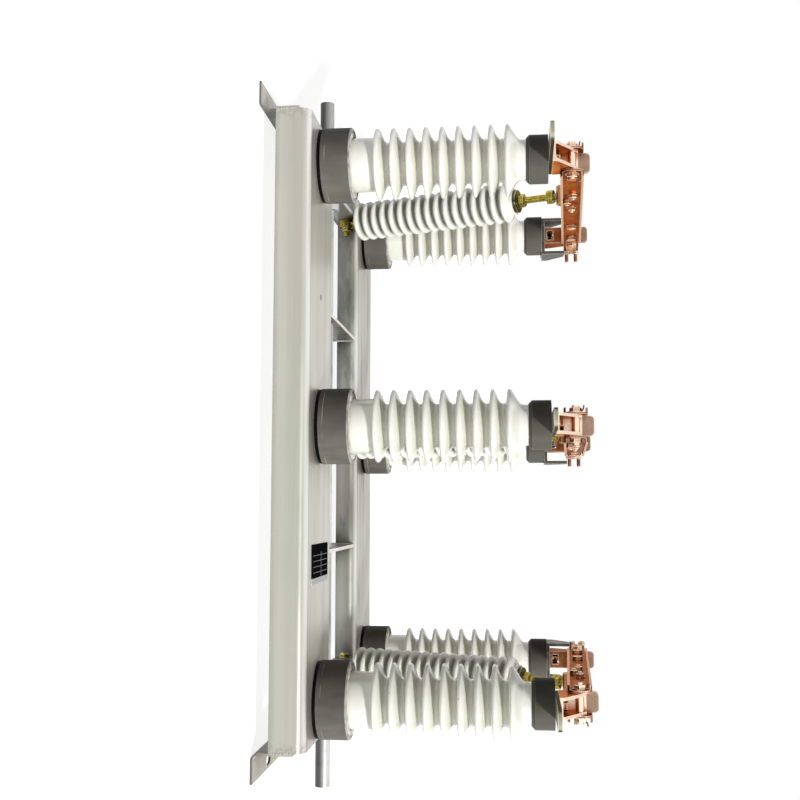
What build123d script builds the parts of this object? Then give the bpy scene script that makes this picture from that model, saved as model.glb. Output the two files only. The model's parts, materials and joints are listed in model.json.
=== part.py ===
"""Three-phase disconnect switch of a substation: two folded beams on four feet carry two rows
of post insulators, and a shaft between the beams lifts three copper blades by pull rods."""
from build123d import *
import os
from math import atan2, cos, degrees, radians, sin, hypot

os.makedirs("parts", exist_ok=True)

# Frame, in millimetres. X runs along the beams, Y across them, Z is up, feet stand on Z = 0.
phase_spacing = 350.0
row_pitch = 410.0
beam_length = 800.0
beam_width = 175.0
beam_outer_height = 45.0
beam_inner_height = 33.0
beam_sheet = 4.0
beam_bend = 14.0
foot_drop = 22.0
foot_sheet = 3.0
foot_reach = 37.0
foot_rise = 30.0
foot_bend = 9.0
foot_slot_length = 23.0
foot_slot_width = 13.0
foot_slot_inset = 26.5
beam_hole = 8.5
beam_hole_place = -171.0
beam_hole_shift = 4.7
cross_plate_offset = 166.0
cross_plate_sheet = 5.0
cross_plate_height = 40.0
cross_plate_depth = 4.0
nameplate_length = 50.0
nameplate_width = 110.0
nameplate_sheet = 1.0
nameplate_place = 177.0

# Operating shaft and its levers.
shaft_radius = 10.5
shaft_wall = 2.5
shaft_length = 994.0
shaft_fit = 0.05
shaft_depth = 22.0
shaft_place = -47.5
crank_reach = 140.0
crank_lift = 8.0
crank_sheet = 6.0
crank_width = 30.0
crank_boss_radius = 18.0
crank_boss_length = 30.0

# Post insulators.
base_radius = 49.5
base_height = 43.0
base_floor = 12.0
base_rim = 5.0
base_recess = 3.0
base_chamfer = 4.5
base_lip = 1.5
porcelain_radius = 36.0
porcelain_plain = 66.0
core_radius = 28.5
shed_radius = 47.5
shed_count = 9
shed_first = 76.0
shed_headroom = 53.6
shed_tip = 4.4
shed_under = 4.0
shed_valley = 3.4
last_shed_cone = 17.0
neck_radius = 26.5
cap_radius = 32.0
cap_height = 29.0
cap_chamfer = 4.5
cap_floor = 8.0
post_height = 300.0
cement_gap = 0.3

# Terminals and contacts.
terminal_width = 26.0
terminal_sheet = 5.0
terminal_reach = 118.0
terminal_hole = 11.0
terminal_rounding = 12.0
bracket_left = 27.0
bracket_right = 34.0
bracket_height = 37.0
bracket_back = 14.0
bracket_top = 22.0
bracket_front = 37.0
bracket_lip = 9.0
contact_sheet = 4.0
contact_width = 27.0
contact_front = 34.0
contact_lip = 6.0
near_back = 24.0
near_ear_height = 34.5
near_ear_length = 18.0
near_tab_height = 51.0
far_back = 4.0
far_ear_height = 53.0
far_ear_length = 15.0
far_tab_height = 71.0
tab_rounding = 6.0
bridge_level = 25.0
bridge_length = 5.5
window_height = 10.0
window_width = 15.0

# Blades: two channel bars on each phase, hinged beside the near contact.
blade_height = 31.0
blade_sheet = 3.0
blade_flange = 9.0
blade_gap = 0.4
blade_tilt = 2.5
blade_tail = 12.0
blade_nose = 62.0
blade_rise = 31.5
blade_near_rounding = 12.0
blade_far_rounding = 6.0
hinge_shift = 10.0
hinge_pin_radius = 5.0
hinge_fit = 0.05
hinge_pin_end = 3.0
spacer_radius = 4.0
near_spacer_shift = 110.0
far_spacer_shift = 58.0
clamp_bolt_shift = 20.0
clamp_bolt_end = 4.0
blade_flange_stop = 36.0
jaw_height = 25.0
jaw_bolt_shift = 36.0
jaw_bolt_spread = 7.5
jaw_bolt_radius = 3.0
jaw_bolt_left = 2.0
jaw_bolt_right = 14.0
attach_reach = 160.0
attach_drop = 11.0

# Pull rods.
rod_shed_radius = 30.0
rod_core_radius = 19.0
rod_shed_count = 18
rod_shed_tip = 4.5
rod_cap_radius = 17.0
rod_cap_height = 5.0
rod_start = 22.0
rod_body_length = 272.0
rod_stem_radius = 5.0
rod_nut_size = 18.0
rod_nut_height = 10.0
rod_eye_radius = 11.0
rod_eye_width = 12.0
rod_pin_radius = 5.0
rod_pin_fit = 0.05
rod_pin_end = 14.0
rod_shed_bevel = 2.0
rod_nut_space = 4.0
rod_side_gap = 0.5

# Edges and corners within this distance of a plane count as lying on it.
tolerance = 0.01

# Levels and places worked out from the sizes above.
beam_top = foot_drop + beam_outer_height
post_top = beam_top + post_height
shed_pitch = (post_height - shed_first - shed_headroom) / (shed_count - 1)
shed_slope = shed_pitch - shed_tip - shed_under - shed_valley
terminal_top = post_top + terminal_sheet
near_row = -row_pitch / 2
far_row = row_pitch / 2
shaft_level = beam_top - shaft_depth
blade_middle = post_top + blade_rise
hinge_place = near_row + hinge_shift
rows = {"near": near_row, "far": far_row}
phases = {"left": -phase_spacing, "middle": 0.0, "right": phase_spacing}
bar_inner = contact_width / 2 + blade_gap
bar_outer = bar_inner + blade_flange
blade_cos = cos(radians(blade_tilt))
blade_sin = sin(radians(blade_tilt))
attach_place = hinge_place + attach_reach * blade_cos + attach_drop * blade_sin
attach_level = blade_middle + attach_reach * blade_sin - attach_drop * blade_cos


def finish(part, name):
    part.label = name
    export_step(part, f"parts/{name}.step")


for row, place in rows.items():
    inward = 1 if row == "near" else -1
    with BuildPart() as beam:
        with BuildSketch(Plane.YZ.offset(-beam_length / 2)):
            with BuildLine():
                outer = place - inward * beam_width / 2
                inner = place + inward * beam_width / 2
                Polyline(
                    (outer, beam_top - beam_outer_height),
                    (outer, beam_top),
                    (inner, beam_top),
                    (inner, beam_top - beam_inner_height),
                    (inner - inward * beam_sheet, beam_top - beam_inner_height),
                    (inner - inward * beam_sheet, beam_top - beam_sheet),
                    (outer + inward * beam_sheet, beam_top - beam_sheet),
                    (outer + inward * beam_sheet, beam_top - beam_outer_height),
                    close=True,
                )
            make_face()
        extrude(amount=beam_length)
        under_level = beam_top - beam_sheet
        long_edges = beam.edges().filter_by(Axis.X)
        fillet([e for e in long_edges if abs(e.center().Z - under_level) < tolerance],
               beam_bend - beam_sheet)
        long_edges = beam.edges().filter_by(Axis.X)
        fillet([e for e in long_edges if abs(e.center().Z - beam_top) < tolerance
                and abs(abs(e.center().Y - place) - beam_width / 2) < tolerance], beam_bend)
        if row == "near":
            with BuildSketch(Plane.XY.offset(under_level)):
                with Locations((beam_hole_place, place - beam_hole_shift)):
                    Circle(beam_hole / 2)
            extrude(amount=beam_sheet, mode=Mode.SUBTRACT)
    finish(beam.part, f"{row}_beam")

    for side, direction in (("left", -1), ("right", 1)):
        end = direction * beam_length / 2
        with BuildPart() as foot:
            with BuildSketch(Plane.XZ.offset(-(place - beam_width / 2))):
                with BuildLine():
                    Polyline(
                        (end, 0),
                        (end + direction * foot_reach, 0),
                        (end + direction * foot_reach, foot_sheet),
                        (end + direction * foot_sheet, foot_sheet),
                        (end + direction * foot_sheet, foot_drop + foot_rise),
                        (end, foot_drop + foot_rise),
                        close=True,
                    )
                make_face()
            extrude(amount=-beam_width)
            across = foot.edges().filter_by(Axis.Y)
            fillet([e for e in across if abs(e.center().X - end - direction * foot_sheet) < tolerance
                    and abs(e.center().Z - foot_sheet) < tolerance], foot_bend - foot_sheet)
            across = foot.edges().filter_by(Axis.Y)
            fillet([e for e in across if abs(e.center().X - end) < tolerance
                    and e.center().Z < tolerance], foot_bend)
            with BuildSketch(Plane.XY):
                with Locations((end + direction * foot_slot_inset, place)):
                    SlotOverall(foot_slot_length, foot_slot_width, rotation=90)
            extrude(amount=foot_sheet, mode=Mode.SUBTRACT)
        finish(foot.part, f"{row}_foot_{side}")

# Cross plates stand between the beams and carry the shaft.
plate_length = row_pitch - beam_width
for side, direction in (("left", -1), ("right", 1)):
    with BuildPart() as cross_plate:
        with BuildSketch(Plane.YZ.offset(direction * cross_plate_offset - cross_plate_sheet / 2)):
            with Locations((0, beam_top - cross_plate_depth - cross_plate_height / 2)):
                Rectangle(plate_length, cross_plate_height)
            with Locations((shaft_place, shaft_level)):
                Circle(shaft_radius + shaft_fit, mode=Mode.SUBTRACT)
        extrude(amount=cross_plate_sheet)
    finish(cross_plate.part, f"cross_plate_{side}")

with BuildPart() as nameplate:
    with BuildSketch(Plane.XY.offset(beam_top)):
        with Locations((nameplate_place, near_row)):
            Rectangle(nameplate_length, nameplate_width)
    extrude(amount=nameplate_sheet)
finish(nameplate.part, "nameplate")

# Operating shaft: a tube with three levers welded to it.
crank_length = hypot(crank_reach, crank_lift)
crank_angle = degrees(atan2(crank_lift, crank_reach))
crank_side = rod_eye_width / 2 + rod_side_gap
with BuildPart() as shaft:
    with BuildSketch(Plane.YZ.offset(-shaft_length / 2)):
        with Locations((shaft_place, shaft_level)):
            Circle(shaft_radius)
    extrude(amount=shaft_length)
    for middle in phases.values():
        lever_plane = Plane(
            origin=(middle - crank_side - crank_sheet, shaft_place, shaft_level),
            x_dir=(0, cos(radians(crank_angle)), sin(radians(crank_angle))), z_dir=(1, 0, 0),
        )
        with BuildSketch(lever_plane):
            with Locations((crank_length / 2, 0)):
                SlotCenterToCenter(crank_length, crank_width)
        extrude(amount=crank_sheet)
        with BuildSketch(lever_plane):
            Circle(crank_boss_radius)
        extrude(amount=crank_boss_length)
        with BuildSketch(lever_plane):
            with Locations((crank_length, 0)):
                Circle(rod_pin_radius + rod_pin_fit)
        extrude(amount=crank_sheet, mode=Mode.SUBTRACT)
    with BuildSketch(Plane.YZ.offset(-shaft_length / 2)):
        with Locations((shaft_place, shaft_level)):
            Circle(shaft_radius - shaft_wall)
    extrude(amount=shaft_length, mode=Mode.SUBTRACT)
finish(shaft.part, "operating_shaft")

# Post insulators.
for row, place in rows.items():
    for phase, middle in phases.items():
        stand = Plane(origin=(middle, place, beam_top), x_dir=(1, 0, 0), z_dir=(0, -1, 0))
        with BuildPart() as base:
            with BuildSketch(stand):
                with BuildLine():
                    Polyline(
                        (0, 0),
                        (base_radius - base_lip, 0),
                        (base_radius, base_chamfer),
                        (base_radius, base_height - base_lip),
                        (base_radius - base_lip, base_height),
                        (base_radius - base_rim, base_height),
                        (base_radius - base_rim, base_height - base_recess),
                        (porcelain_radius + cement_gap, base_height - base_recess),
                        (porcelain_radius + cement_gap, base_floor),
                        (0, base_floor),
                        close=True,
                    )
                make_face()
            revolve(axis=Axis((middle, place, beam_top), (0, 0, 1)))
        finish(base.part, f"{row}_base_{phase}")

        with BuildPart() as porcelain:
            outline = [(0, base_floor), (porcelain_radius, base_floor), (porcelain_radius, porcelain_plain)]
            for number in range(shed_count):
                tip = shed_first + number * shed_pitch
                outline += [
                    (core_radius, tip - shed_tip / 2 - shed_under),
                    (shed_radius, tip - shed_tip / 2),
                    (shed_radius, tip + shed_tip / 2),
                    (core_radius, tip + shed_tip / 2 + shed_slope),
                ]
            outline[-1] = (neck_radius, outline[-2][1] + last_shed_cone)
            outline += [
                (neck_radius, post_height - cap_floor),
                (0, post_height - cap_floor),
            ]
            with BuildSketch(stand):
                with BuildLine():
                    Polyline(*outline, close=True)
                make_face()
            revolve(axis=Axis((middle, place, beam_top), (0, 0, 1)))
        finish(porcelain.part, f"{row}_insulator_{phase}")

        with BuildPart() as cap:
            with BuildSketch(stand):
                with BuildLine():
                    Polyline(
                        (0, post_height),
                        (cap_radius, post_height),
                        (cap_radius, post_height - cap_height + cap_chamfer),
                        (cap_radius - cap_chamfer, post_height - cap_height),
                        (neck_radius + cement_gap, post_height - cap_height),
                        (neck_radius + cement_gap, post_height - cap_floor),
                        (0, post_height - cap_floor),
                        close=True,
                    )
                make_face()
            revolve(axis=Axis((middle, place, beam_top), (0, 0, 1)))
        finish(cap.part, f"{row}_cap_{phase}")

        # The terminal bar lies on the cap and points away from the other row. Those of the far row
        # carry a bracket, whose two cheeks slant back beside the contact and the blade.
        away = -1 if row == "near" else 1
        far_end = place + away * terminal_reach
        near_end = place - away * near_back
        with BuildPart() as terminal:
            with BuildSketch(Plane.XY.offset(post_top)) as bar:
                with Locations((middle, (far_end + near_end) / 2)):
                    Rectangle(terminal_width, abs(far_end - near_end))
                fillet([v for v in bar.vertices() if abs(v.Y - far_end) < tolerance], terminal_rounding)
                with Locations((middle, far_end - away * terminal_width / 2)):
                    Circle(terminal_hole / 2, mode=Mode.SUBTRACT)
            extrude(amount=terminal_sheet)
            if row == "far":
                with BuildSketch(Plane.XY.offset(post_top)):
                    with Locations((middle + (bracket_right - bracket_left) / 2,
                                    place + (bracket_front - bracket_back) / 2)):
                        Rectangle(bracket_left + bracket_right, bracket_front + bracket_back)
                extrude(amount=terminal_sheet)
                for low_face in (middle - bracket_left, middle + bracket_right - terminal_sheet):
                    with BuildSketch(Plane.YZ.offset(low_face)):
                        with BuildLine():
                            Polyline(
                                (place - bracket_back, post_top),
                                (place + bracket_front, post_top),
                                (place + bracket_front, post_top + bracket_lip),
                                (place - bracket_back + bracket_top, post_top + bracket_height),
                                (place - bracket_back, post_top + bracket_height),
                                close=True,
                            )
                        make_face()
                    extrude(amount=terminal_sheet)
        finish(terminal.part, f"{row}_terminal_{phase}")

# Contacts: a copper bracket on the terminal, open away from the other row. Its cheeks slant back
# to two ears, and the wall between them rises as a tab. The near ears carry the hinge pin of the
# blade, and the far wall has a window at its foot.
contact_sizes = {
    "near": (near_back, near_ear_height, near_ear_length, near_tab_height),
    "far": (far_back, far_ear_height, far_ear_length, far_tab_height),
}
for row, place in rows.items():
    away = -1 if row == "near" else 1
    wall_shift, ear_height, ear_length, tab_height = contact_sizes[row]
    front = place + away * contact_front
    wall = place - away * wall_shift
    ear_top = terminal_top + ear_height
    ear_start = wall + away * ear_length
    for phase, middle in phases.items():
        with BuildPart() as contact:
            with BuildSketch(Plane.XY.offset(terminal_top)):
                with Locations((middle, (front + wall) / 2)):
                    Rectangle(contact_width, abs(front - wall))
            extrude(amount=contact_sheet)
            for low_face in (middle - contact_width / 2, middle + contact_width / 2 - contact_sheet):
                with BuildSketch(Plane.YZ.offset(low_face)):
                    with BuildLine():
                        Polyline(
                            (front, terminal_top),
                            (wall, terminal_top),
                            (wall, ear_top),
                            (ear_start, ear_top),
                            (front, terminal_top + contact_lip),
                            close=True,
                        )
                    make_face()
                extrude(amount=contact_sheet)
            with BuildSketch(Plane.XZ.offset(-wall)) as tab:
                with Locations((middle, terminal_top + tab_height / 2)):
                    Rectangle(contact_width, tab_height)
                fillet(tab.vertices().group_by(Axis.Y)[-1], tab_rounding)
            extrude(amount=away * -contact_sheet)
            slant = (ear_height - contact_lip) / abs(ear_start - front)
            bridge_front = front - away * (bridge_level + contact_sheet - contact_lip) / slant
            with BuildSketch(Plane.XY.offset(terminal_top + bridge_level)):
                with Locations((middle, bridge_front - away * bridge_length / 2)):
                    Rectangle(contact_width, bridge_length)
            extrude(amount=contact_sheet)
            if row == "near":
                with BuildSketch(Plane.YZ.offset(middle - bar_outer - hinge_pin_end)):
                    with Locations((hinge_place, blade_middle)):
                        Circle(hinge_pin_radius)
                extrude(amount=2 * (bar_outer + hinge_pin_end))
            else:
                with BuildSketch(Plane.XZ.offset(-wall)):
                    with Locations((middle, terminal_top + contact_sheet + window_height / 2)):
                        Rectangle(window_width, window_height)
                extrude(amount=away * -contact_sheet, mode=Mode.SUBTRACT)
        finish(contact.part, f"{row}_contact_{phase}")

# Blades: two bars of channel section, their flanges outwards. The flanges stop before the far
# contact, and the bare webs go on as jaws beside it. Two spacer pins and three bolts join the bars.
blade_length = blade_tail + (far_row + blade_nose - hinge_place) / blade_cos
flange_length = blade_tail + (far_row - blade_flange_stop - hinge_place) / blade_cos
for phase, middle in phases.items():
    with BuildPart() as blade:
        section = Plane(
            origin=(middle, hinge_place - blade_tail * blade_cos, blade_middle - blade_tail * blade_sin),
            x_dir=(1, 0, 0), z_dir=(0, -blade_cos, -blade_sin),
        )
        for side in (-1, 1):
            inner = side * bar_inner
            with BuildSketch(section):
                with BuildLine():
                    Polyline(
                        (inner, -blade_height / 2),
                        (inner + side * blade_flange, -blade_height / 2),
                        (inner + side * blade_flange, blade_sheet - blade_height / 2),
                        (inner + side * blade_sheet, blade_sheet - blade_height / 2),
                        (inner + side * blade_sheet, blade_height / 2 - blade_sheet),
                        (inner + side * blade_flange, blade_height / 2 - blade_sheet),
                        (inner + side * blade_flange, blade_height / 2),
                        (inner, blade_height / 2),
                        close=True,
                    )
                make_face()
            extrude(amount=-flange_length)
        profile = Plane(
            origin=(middle - bar_outer, hinge_place, blade_middle),
            x_dir=(0, blade_cos, blade_sin), z_dir=(1, 0, 0),
        )
        with BuildSketch(profile) as outline:
            with Locations((flange_length / 2 - blade_tail, 0)):
                Rectangle(flange_length, blade_height)
            fillet(outline.vertices().group_by(Axis.X)[0], blade_near_rounding)
        extrude(amount=2 * bar_outer, mode=Mode.INTERSECT)
        for low_face in (-bar_inner - blade_sheet, bar_inner):
            with BuildSketch(profile.offset(bar_outer + low_face)) as jaw:
                with Locations(((flange_length + blade_length) / 2 - blade_tail, 0)):
                    Rectangle(blade_length - flange_length, jaw_height)
                fillet(jaw.vertices().group_by(Axis.X)[-1], blade_far_rounding)
            extrude(amount=blade_sheet)
        with BuildSketch(profile):
            Circle(hinge_pin_radius + hinge_fit)
        extrude(amount=2 * bar_outer, mode=Mode.SUBTRACT)
        far_spacer = (far_row - far_spacer_shift - hinge_place) / blade_cos
        with BuildSketch(profile):
            with Locations((attach_reach + near_spacer_shift, 0), (far_spacer, 0)):
                Circle(spacer_radius)
        extrude(amount=2 * bar_outer)
        clamp_bolt = (far_row - far_back - clamp_bolt_shift - hinge_place) / blade_cos
        with BuildSketch(profile.offset(-clamp_bolt_end)):
            with Locations((clamp_bolt, 0)):
                Circle(spacer_radius)
        extrude(amount=2 * (bar_outer + clamp_bolt_end))
        jaw_bolts = (far_row + jaw_bolt_shift - hinge_place) / blade_cos
        with BuildSketch(profile.offset(-jaw_bolt_left)):
            with Locations((jaw_bolts, jaw_bolt_spread), (jaw_bolts, -jaw_bolt_spread)):
                Circle(jaw_bolt_radius)
        extrude(amount=2 * bar_outer + jaw_bolt_left + jaw_bolt_right)
    finish(blade.part, f"blade_{phase}")

# Pull rods: the lower eye turns on the crank pin, the upper eye hangs between the bars.
pin_place = shaft_place + crank_reach
pin_level = shaft_level + crank_lift
rod_length = hypot(attach_place - pin_place, attach_level - pin_level)
rod_y = (attach_place - pin_place) / rod_length
rod_z = (attach_level - pin_level) / rod_length
for phase, middle in phases.items():
    along = Plane(origin=(middle, pin_place, pin_level), x_dir=(1, 0, 0), z_dir=(0, rod_y, rod_z))
    profile = Plane(origin=along.origin, x_dir=(1, 0, 0), z_dir=(0, -rod_z, rod_y))
    body_end = rod_start + rod_body_length
    with BuildPart() as rod_porcelain:
        start = rod_start + rod_cap_height
        outline = [(0, start), (rod_core_radius, start)]
        rod_shed_pitch = (rod_body_length - 2 * rod_cap_height) / rod_shed_count
        for number in range(rod_shed_count):
            tip = start + (number + 0.5) * rod_shed_pitch
            outline += [
                (rod_core_radius, tip - rod_shed_tip / 2 - rod_shed_bevel),
                (rod_shed_radius, tip - rod_shed_tip / 2),
                (rod_shed_radius, tip + rod_shed_tip / 2),
                (rod_core_radius, tip + rod_shed_tip / 2 + rod_shed_bevel),
            ]
        outline += [(rod_core_radius, body_end - rod_cap_height), (0, body_end - rod_cap_height)]
        with BuildSketch(profile):
            with BuildLine():
                Polyline(*outline, close=True)
            make_face()
        revolve(axis=Axis(along.origin, along.z_dir))
    finish(rod_porcelain.part, f"rod_insulator_{phase}")

    with BuildPart() as low_end:
        with BuildSketch(along.offset(rod_start)):
            Circle(rod_cap_radius)
        extrude(amount=rod_cap_height)
        with BuildSketch(Plane.YZ.offset(middle - rod_eye_width / 2)):
            with Locations((pin_place, pin_level)):
                Circle(rod_eye_radius)
        extrude(amount=rod_eye_width)
        with BuildSketch(along.offset(rod_eye_radius / 2)):
            Circle(rod_stem_radius)
        extrude(amount=rod_start - rod_eye_radius / 2)
        with BuildSketch(Plane.YZ.offset(middle - rod_eye_width / 2 - rod_pin_end)):
            with Locations((pin_place, pin_level)):
                Circle(rod_pin_radius)
        extrude(amount=rod_eye_width + 2 * rod_pin_end)
    finish(low_end.part, f"rod_low_end_{phase}")

    with BuildPart() as high_end:
        with BuildSketch(along.offset(body_end - rod_cap_height)):
            Circle(rod_cap_radius)
        extrude(amount=rod_cap_height)
        with BuildSketch(along.offset(body_end)):
            Circle(rod_stem_radius)
        extrude(amount=rod_length - body_end - rod_eye_radius / 2)
        with BuildSketch(along.offset(body_end)):
            RegularPolygon(rod_nut_size / 2, 6, major_radius=False)
        extrude(amount=rod_nut_height)
        with BuildSketch(along.offset(rod_length - rod_eye_radius - rod_nut_height - rod_nut_space)):
            RegularPolygon(rod_nut_size / 2, 6, major_radius=False)
        extrude(amount=rod_nut_height)
        with BuildSketch(Plane.YZ.offset(middle - bar_inner + rod_side_gap)):
            with Locations((attach_place, attach_level)):
                Circle(rod_eye_radius)
        extrude(amount=2 * (bar_inner - rod_side_gap))
    finish(high_end.part, f"rod_high_end_{phase}")
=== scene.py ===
"""Looks of a three-phase disconnect switch: glazed porcelain posts on folded stainless beams,
iron bases and caps, copper blades and contacts, and yellow fittings on the pull rods."""
import json
from math import cos, hypot, radians, sin, tau

import bmesh
import bpy
from mathutils import Matrix, Vector


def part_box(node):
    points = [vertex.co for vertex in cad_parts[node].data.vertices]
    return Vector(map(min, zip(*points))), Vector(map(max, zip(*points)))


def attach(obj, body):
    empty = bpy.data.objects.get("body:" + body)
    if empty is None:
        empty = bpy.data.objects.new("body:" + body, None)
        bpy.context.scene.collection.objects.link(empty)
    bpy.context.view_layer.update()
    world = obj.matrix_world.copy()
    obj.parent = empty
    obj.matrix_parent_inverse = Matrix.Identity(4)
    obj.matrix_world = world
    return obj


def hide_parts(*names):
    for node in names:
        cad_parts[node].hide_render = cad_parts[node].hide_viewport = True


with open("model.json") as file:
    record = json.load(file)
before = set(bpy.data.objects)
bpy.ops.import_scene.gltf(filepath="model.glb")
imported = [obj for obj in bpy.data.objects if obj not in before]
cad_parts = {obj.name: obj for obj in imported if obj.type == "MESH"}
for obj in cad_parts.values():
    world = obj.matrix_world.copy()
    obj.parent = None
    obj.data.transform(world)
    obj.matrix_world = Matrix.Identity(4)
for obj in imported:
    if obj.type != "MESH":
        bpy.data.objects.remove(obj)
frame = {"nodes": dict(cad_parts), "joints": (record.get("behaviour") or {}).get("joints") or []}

bl_info = {
    "name": "Disconnect Switch",
    "version": (1, 0, 0),
    "blender": (4, 5, 0),
    "location": "View3D > Sidebar > Switch",
    "description": "Porcelain, fittings, finishes and studio of a three-phase disconnect switch",
    "category": "Object",
}

ROWS = ("near", "far")
PHASES = ("left", "middle", "right")
BLADE_TILT = radians(2.5)
BLADE_WEB = 0.0171  # from a blade's middle to the outer face of its web
WELD_DISTANCE = 0.00002  # points of a lathe that lie closer become one
FOOT_SHADOW_BAND = 0.0047  # height of the black band at the foot of a base, a painted shadow of the gap under it
CAMERA_PLACE = (0.10544, -1.61096, 0.32393)
CAMERA_AIM = (-0.0516, -0.0279, 0.1526)


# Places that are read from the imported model.

def middle_of(node):
    """Centre of a node's box."""
    low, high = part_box(node)
    return (Vector(low) + Vector(high)) / 2


def pivot(name):
    """Place of a joint at rest."""
    joint = next(j for j in frame["joints"] if j["name"] == name)
    return Vector(joint["pos_m"])


def post_foot(row, phase):
    """Point on the beam under the middle of a post."""
    centre = middle_of(f"{row}_base_{phase}")
    return Vector((centre.x, centre.y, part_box(f"{row}_base_{phase}")[0][2]))


def post_feet(row):
    """Points on the beam under the three posts of a row."""
    return [post_foot(row, phase) for phase in PHASES]


def rod_axis(phase):
    """Lower pivot of a pull rod, and the direction from there to the upper one."""
    low = pivot(f"rod_turn_{phase}")
    return low, (middle_of(f"rod_insulator_{phase}") - low).normalized()


def on_blade(phase, along, across, aside):
    """Point on a closed blade: along it from its hinge, across its height, and aside from its middle."""
    return pivot(f"blade_turn_{phase}") + Vector((
        aside, along * cos(BLADE_TILT) - across * sin(BLADE_TILT), along * sin(BLADE_TILT) + across * cos(BLADE_TILT)))


# Small helpers for node trees.

class Value:
    """An output of a node that takes part in arithmetic. A number in brackets reads a part of a vector."""

    def __init__(self, socket):
        self.socket = socket
        self.tree = socket.id_data

    def __add__(self, other):
        return maths("ADD", self, other)

    def __sub__(self, other):
        return maths("SUBTRACT", self, other)

    def __rsub__(self, other):
        return maths("SUBTRACT", other, self)

    def __mul__(self, other):
        return maths("MULTIPLY", self, other)

    def __truediv__(self, other):
        return maths("DIVIDE", self, other)

    def __getitem__(self, number):
        return add(self.tree, "ShaderNodeSeparateXYZ", {0: self}, number)


def feed(node, inputs):
    """Feeds a node's inputs by name or number: links values, and sets plain numbers and colours."""
    for key, value in inputs.items():
        if isinstance(value, Value):
            value.tree.links.new(value.socket, node.inputs[key])
        else:
            node.inputs[key].default_value = value


def new_node(tree, kind, inputs=None, **settings):
    """Adds a node with its settings, and feeds its inputs."""
    node = tree.nodes.new(kind)
    for key, value in settings.items():
        setattr(node, key, value)
    feed(node, inputs or {})
    return node


def add(tree, kind, inputs=None, output=0, **settings):
    """Adds a node and reads one of its outputs."""
    return Value(new_node(tree, kind, inputs, **settings).outputs[output])


def maths(operation, *values):
    """One step of arithmetic on values or numbers."""
    tree = next(value.tree for value in values if isinstance(value, Value))
    return add(tree, "ShaderNodeMath", dict(enumerate(values)), operation=operation)


def vector(*parts):
    """A vector of three values."""
    return add(parts[0].tree, "ShaderNodeCombineXYZ", dict(enumerate(parts)))


def shaped(factor, points):
    """A curve through points, read at factor."""
    node = new_node(factor.tree, "ShaderNodeFloatCurve", {"Value": factor})
    curve = node.mapping.curves[0]
    while len(curve.points) < len(points):
        curve.points.new(0.5, 0.5)
    for point, place in zip(curve.points, points):
        point.location = place
        point.handle_type = "AUTO"
    node.mapping.update()
    return Value(node.outputs[0])


def noise(place, scale, detail=3.0, roughness=0.5, stretch=None):
    """Noise between 0 and 1 at a scale per metre, longer along one direction where stretched."""
    if stretch:
        place = add(place.tree, "ShaderNodeMapping", {"Vector": place, "Scale": stretch})
    return add(place.tree, "ShaderNodeTexNoise",
               {"Vector": place, "Scale": scale, "Detail": detail, "Roughness": roughness})


def new_geometry(name, sockets):
    """A geometry tree with named inputs. Returns the tree and the values of its inputs by name."""
    tree = bpy.data.node_groups.new(name, "GeometryNodeTree")
    tree.interface.new_socket("Geometry", in_out="INPUT", socket_type="NodeSocketGeometry")
    for label, value in sockets.items():
        kind = "Material" if value is None else "Int" if isinstance(value, int) else "Float"
        socket = tree.interface.new_socket(label, in_out="INPUT", socket_type=f"NodeSocket{kind}")
        if value is not None:
            socket.default_value = value
        if kind == "Float":
            socket.subtype = "DISTANCE"
    tree.interface.new_socket("Geometry", in_out="OUTPUT", socket_type="NodeSocketGeometry")
    return tree, {socket.name: Value(socket) for socket in new_node(tree, "NodeGroupInput").outputs}


def joined(parts):
    """Several geometries as one."""
    node = new_node(parts[0].tree, "GeometryNodeJoinGeometry")
    for part in parts:
        part.tree.links.new(part.socket, node.inputs[0])
    return Value(node.outputs[0])


def close_geometry(tree, inputs, geometry, smooth=True):
    """Ends a tree: real geometry, shaded and with its material."""
    real = add(tree, "GeometryNodeRealizeInstances", {0: geometry})
    shaded = add(tree, "GeometryNodeSetShadeSmooth", {"Geometry": real, "Shade Smooth": smooth})
    finished = add(tree, "GeometryNodeSetMaterial", {"Geometry": shaded, "Material": inputs["Material"]})
    new_node(tree, "NodeGroupOutput", {0: finished})
    return tree


def grow(piece, tree, values):
    """Runs a tree on a piece and keeps the result as a plain mesh."""
    modifier = piece.modifiers.new(tree.name, "NODES")
    modifier.node_group = tree
    keys = {i.name: i.identifier for i in tree.interface.items_tree
            if i.item_type == "SOCKET" and i.in_out == "INPUT"}
    for name, value in values.items():
        modifier[keys[name]] = value
    mesh = plain_mesh(piece)
    piece.modifiers.remove(modifier)
    piece.data = mesh
    mesh.name = piece.name
    if not mesh.polygons:
        raise RuntimeError(f"{piece.name} came out empty")


def plain_mesh(piece):
    """A mesh of what an object shows."""
    graph = bpy.context.evaluated_depsgraph_get()
    return bpy.data.meshes.new_from_object(piece.evaluated_get(graph), depsgraph=graph)


def new_piece(name, data):
    """A new object of the scene."""
    piece = bpy.data.objects.new(name, data)
    bpy.context.scene.collection.objects.link(piece)
    return piece


def mesh_piece(name, places, edges=(), faces=()):
    """A new object from its points and what joins them."""
    mesh = bpy.data.meshes.new(name)
    mesh.from_pydata([tuple(place) for place in places], edges, faces)
    return new_piece(name, mesh)


def points_piece(name, places, axes=None, spins=None):
    """An object of loose points, each with the direction that its instance stands in."""
    piece = mesh_piece(name, places)
    axis = piece.data.attributes.new("axis", "FLOAT_VECTOR", "POINT").name
    spin = piece.data.attributes.new("spin", "FLOAT", "POINT").name
    for number in range(len(places)):
        piece.data.attributes[axis].data[number].vector = axes[number] if axes else (0, 0, 1)
        piece.data.attributes[spin].data[number].value = spins[number] if spins else 0.0
    return piece


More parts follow.
